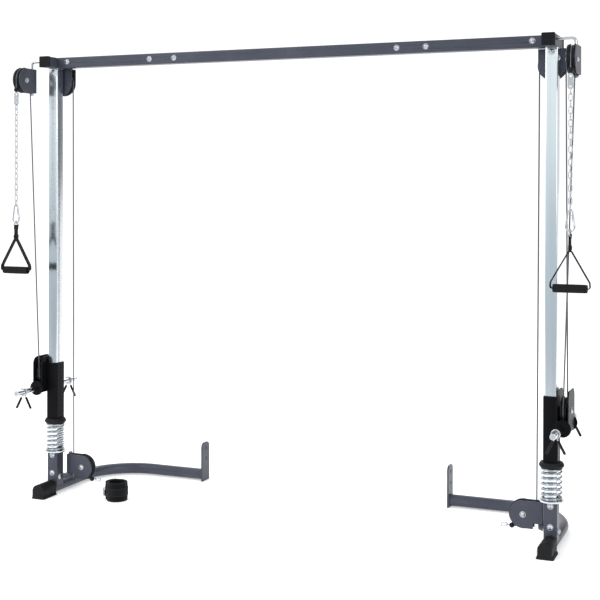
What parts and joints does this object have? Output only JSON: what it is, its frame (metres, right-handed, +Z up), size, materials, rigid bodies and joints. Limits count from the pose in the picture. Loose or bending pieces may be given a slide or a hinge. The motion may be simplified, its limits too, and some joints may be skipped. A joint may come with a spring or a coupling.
{
  "type": "functional trainer",
  "caption": "Plate-loaded cable crossover for a power rack: beam on chrome columns, sprung carriages, swivel pulleys and chain-hung handles.",
  "frame": {"origin": "on the floor, under the middle of the box round the whole machine", "axes": "+X to the right seen from the front, +Y to the back, +Z up"},
  "size_m": [2.738, 0.775, 2.086],
  "materials": {
    "slate_paint": "satin",
    "black_paint": "satin",
    "chrome": "gloss",
    "spring_steel": "gloss",
    "zinc_steel": "satin",
    "black_rubber": "matte",
    "black_plastic": "matte",
    "cable_coat": "satin",
    "black_webbing": "matte",
    "black_foam": "matte"
  },
  "bodies": {
    "frame": {"top_beam": "slate_paint", "beam_stubs": "slate_paint", "stub_caps": "black_rubber", "rubber_feet": "black_rubber", "spring_seats": "chrome", "bumper_springs": "spring_steel", "hinge_rods": "zinc_steel", "crown_housings": "slate_paint", "frame_bolts": "zinc_steel", "left_column": "chrome", "left_base_tube": "slate_paint", "left_base_post": "slate_paint", "left_cable": "cable_coat", "right_column": "chrome", "right_base_tube": "slate_paint", "right_base_post": "slate_paint", "right_cable": "cable_coat"},
    "left_crown": {"left_crown_pulley": "black_plastic"},
    "left_carriage": {"left_carriage_sleeve": "black_paint", "left_carriage_bumper": "black_rubber", "left_pulley_bracket": "black_paint", "left_carriage_axle": "zinc_steel", "left_plate_pegs": "chrome"},
    "left_carriage_roller": {"left_carriage_pulley": "black_plastic"},
    "left_front_collar": {"left_front_clip": "zinc_steel"},
    "left_rear_collar": {"left_rear_clip": "zinc_steel"},
    "left_top_swivel": {"left_top_swivel_housing": "slate_paint", "left_top_swivel_axle": "zinc_steel"},
    "left_top_roller": {"left_top_swivel_pulley": "black_plastic"},
    "left_low_swivel": {"left_low_swivel_housing": "slate_paint", "left_low_swivel_axle": "zinc_steel", "left_low_hook": "black_rubber"},
    "left_low_roller": {"left_low_swivel_pulley": "black_plastic"},
    "left_pull": {"left_ball_stop": "black_rubber"},
    "left_handle": {"left_chain": "zinc_steel", "left_carabiner": "zinc_steel", "left_handle_strap": "black_webbing"},
    "left_grip": {"left_handle_grip": "black_foam"},
    "right_crown": {"right_crown_pulley": "black_plastic"},
    "right_carriage": {"right_carriage_sleeve": "black_paint", "right_carriage_bumper": "black_rubber", "right_pulley_bracket": "black_paint", "right_carriage_axle": "zinc_steel", "right_plate_pegs": "chrome"},
    "right_carriage_roller": {"right_carriage_pulley": "black_plastic"},
    "right_front_collar": {"right_front_clip": "zinc_steel"},
    "right_rear_collar": {"right_rear_clip": "zinc_steel"},
    "right_top_swivel": {"right_top_swivel_housing": "slate_paint", "right_top_swivel_axle": "zinc_steel"},
    "right_top_roller": {"right_top_swivel_pulley": "black_plastic"},
    "right_low_swivel": {"right_low_swivel_housing": "slate_paint", "right_low_swivel_axle": "zinc_steel", "right_low_hook": "black_rubber"},
    "right_low_roller": {"right_low_swivel_pulley": "black_plastic"},
    "right_pull": {"right_ball_stop": "black_rubber"},
    "right_handle": {"right_chain": "zinc_steel", "right_carabiner": "zinc_steel", "right_handle_strap": "black_webbing"},
    "right_grip": {"right_handle_grip": "black_foam"},
    "ankle_cuff": {"ankle_strap": "black_webbing"}
  },
  "joints": [
    {"name": "left_carriage_lift", "type": "slide", "parent": "frame", "child": "left_carriage", "axis": [0, 0, 1], "range_m": [0, 0.5], "deforming": ["left_cable"]},
    {"name": "left_carriage_pulley_spin", "type": "hinge", "parent": "left_carriage", "child": "left_carriage_roller", "pos_m": [-1.243, -0.14, 0.57], "axis": [1, 0, 0], "continuous": true},
    {"name": "left_top_swivel_turn", "type": "hinge", "parent": "frame", "child": "left_top_swivel", "pos_m": [-1.29, -0.19, 1.973], "axis": [0, 0, 1], "range_deg": [-100, 60], "deforming": ["left_cable"]},
    {"name": "left_top_pulley_spin", "type": "hinge", "parent": "left_top_swivel", "child": "left_top_roller", "pos_m": [-1.29, -0.262, 1.973], "axis": [1, 0, 0], "continuous": true},
    {"name": "left_handle_pull", "type": "slide", "parent": "left_top_swivel", "child": "left_pull", "axis": [0, -0.5, -0.866], "range_m": [0, 1], "deforming": ["left_cable"]},
    {"name": "left_handle_swing", "type": "hinge", "parent": "left_pull", "child": "left_handle", "pos_m": [-1.29, -0.316, 1.8527], "axis": [1, 0, 0], "range_deg": [-75, 5], "deforming": ["left_cable"]},
    {"name": "left_grip_spin", "type": "hinge", "parent": "left_handle", "child": "left_grip", "pos_m": [-1.29, -0.316, 1.076], "axis": [1, 0, 0], "continuous": true},
    {"name": "left_crown_pulley_spin", "type": "hinge", "parent": "frame", "child": "left_crown", "pos_m": [-1.179, -0.088, 1.967], "axis": [0, 1, 0], "continuous": true},
    {"name": "left_low_swivel_turn", "type": "hinge", "parent": "frame", "child": "left_low_swivel", "pos_m": [-1.136, -0.088, 0.122], "axis": [0, 0, 1], "range_deg": [-60, 60], "deforming": ["left_cable"]},
    {"name": "left_low_pulley_spin", "type": "hinge", "parent": "left_low_swivel", "child": "left_low_roller", "pos_m": [-1.064, -0.088, 0.122], "axis": [0, 1, 0], "continuous": true},
    {"name": "left_front_clip_slide", "type": "slide", "parent": "left_carriage", "child": "left_front_collar", "axis": [0, -1, 0], "range_m": [0, 0.09]},
    {"name": "left_rear_clip_slide", "type": "slide", "parent": "left_carriage", "child": "left_rear_collar", "axis": [0, 1, 0], "range_m": [0, 0.09]},
    {"name": "right_carriage_lift", "type": "slide", "parent": "frame", "child": "right_carriage", "axis": [0, 0, 1], "range_m": [0, 0.5], "deforming": ["right_cable"]},
    {"name": "right_carriage_pulley_spin", "type": "hinge", "parent": "right_carriage", "child": "right_carriage_roller", "pos_m": [1.243, -0.14, 0.57], "axis": [1, 0, 0], "continuous": true},
    {"name": "right_top_swivel_turn", "type": "hinge", "parent": "frame", "child": "right_top_swivel", "pos_m": [1.29, -0.19, 1.973], "axis": [0, 0, 1], "range_deg": [-60, 100], "deforming": ["right_cable"]},
    {"name": "right_top_pulley_spin", "type": "hinge", "parent": "right_top_swivel", "child": "right_top_roller", "pos_m": [1.29, -0.262, 1.973], "axis": [1, 0, 0], "continuous": true},
    {"name": "right_handle_pull", "type": "slide", "parent": "right_top_swivel", "child": "right_pull", "axis": [0, -0.5, -0.866], "range_m": [0, 1], "deforming": ["right_cable"]},
    {"name": "right_handle_swing", "type": "hinge", "parent": "right_pull", "child": "right_handle", "pos_m": [1.29, -0.316, 1.8527], "axis": [1, 0, 0], "range_deg": [-75, 5], "deforming": ["right_cable"]},
    {"name": "right_grip_spin", "type": "hinge", "parent": "right_handle", "child": "right_grip", "pos_m": [1.29, -0.316, 1.076], "axis": [1, 0, 0], "continuous": true},
    {"name": "right_crown_pulley_spin", "type": "hinge", "parent": "frame", "child": "right_crown", "pos_m": [1.179, -0.088, 1.967], "axis": [0, 1, 0], "continuous": true},
    {"name": "right_low_swivel_turn", "type": "hinge", "parent": "frame", "child": "right_low_swivel", "pos_m": [1.136, -0.088, 0.122], "axis": [0, 0, 1], "range_deg": [-60, 60], "deforming": ["right_cable"]},
    {"name": "right_low_pulley_spin", "type": "hinge", "parent": "right_low_swivel", "child": "right_low_roller", "pos_m": [1.064, -0.088, 0.122], "axis": [0, 1, 0], "continuous": true},
    {"name": "right_front_clip_slide", "type": "slide", "parent": "right_carriage", "child": "right_front_collar", "axis": [0, -1, 0], "range_m": [0, 0.09]},
    {"name": "right_rear_clip_slide", "type": "slide", "parent": "right_carriage", "child": "right_rear_collar", "axis": [0, 1, 0], "range_m": [0, 0.09]},
    {"name": "ankle_strap_lift", "type": "slide", "parent": "frame", "child": "ankle_cuff", "axis": [0, 0, 1], "range_m": [0, 0.4]}
  ],
  "couplings": [
    {"joint": "left_handle_pull", "follows": "left_carriage_lift", "ratio": 2},
    {"joint": "right_handle_pull", "follows": "right_carriage_lift", "ratio": 2}
  ]
}
